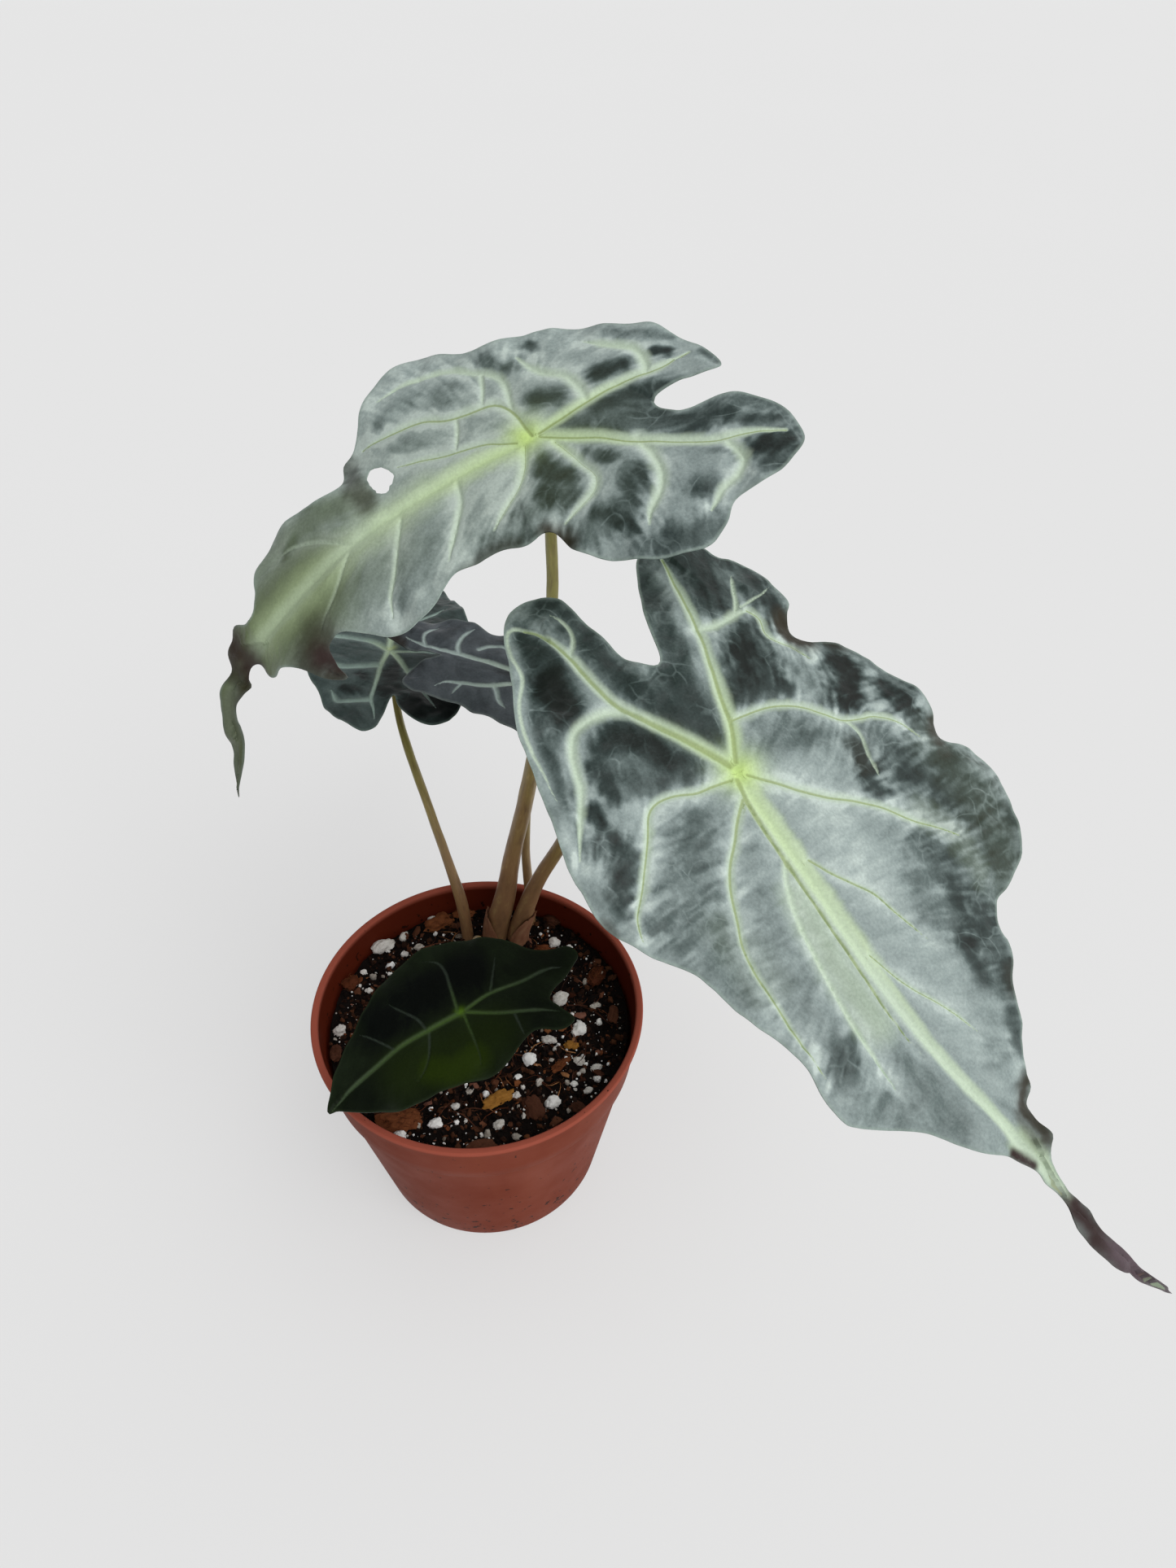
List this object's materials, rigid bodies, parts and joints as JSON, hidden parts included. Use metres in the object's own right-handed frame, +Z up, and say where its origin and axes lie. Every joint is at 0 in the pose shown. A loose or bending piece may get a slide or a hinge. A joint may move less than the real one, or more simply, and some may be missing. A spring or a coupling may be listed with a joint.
{
  "type": "potted alocasia plant",
  "caption": "Small alocasia with silvery arrow-shaped leaves on slim stalks, standing in dark potting mix in a round reddish brown plastic nursery pot.",
  "frame": {"origin": "centre of the pot's flat base, on the surface it stands on", "axes": "+Z up, the pot's axis; -Y towards the viewer of the picture; +X to the picture's right"},
  "size_m": [0.2384, 0.2867, 0.2826],
  "materials": {
    "pot_plastic": "satin",
    "potting_mix": "rough",
    "silver_blade": "satin",
    "dark_blade": "satin",
    "stalk": "satin",
    "dry_sheath": "matte"
  },
  "bodies": {
    "root": {"pot": "pot_plastic", "potting_mix": "potting_mix", "leaf_top": "silver_blade", "leaf_right": "silver_blade", "leaf_back_left": "dark_blade", "leaf_back_right": "dark_blade", "leaf_front": "dark_blade", "petiole_top": "stalk", "petiole_right": "stalk", "petiole_back_left": "stalk", "petiole_back_right": "stalk", "petiole_front": "stalk", "dry_sheath": "dry_sheath"}
  },
  "joints": []
}
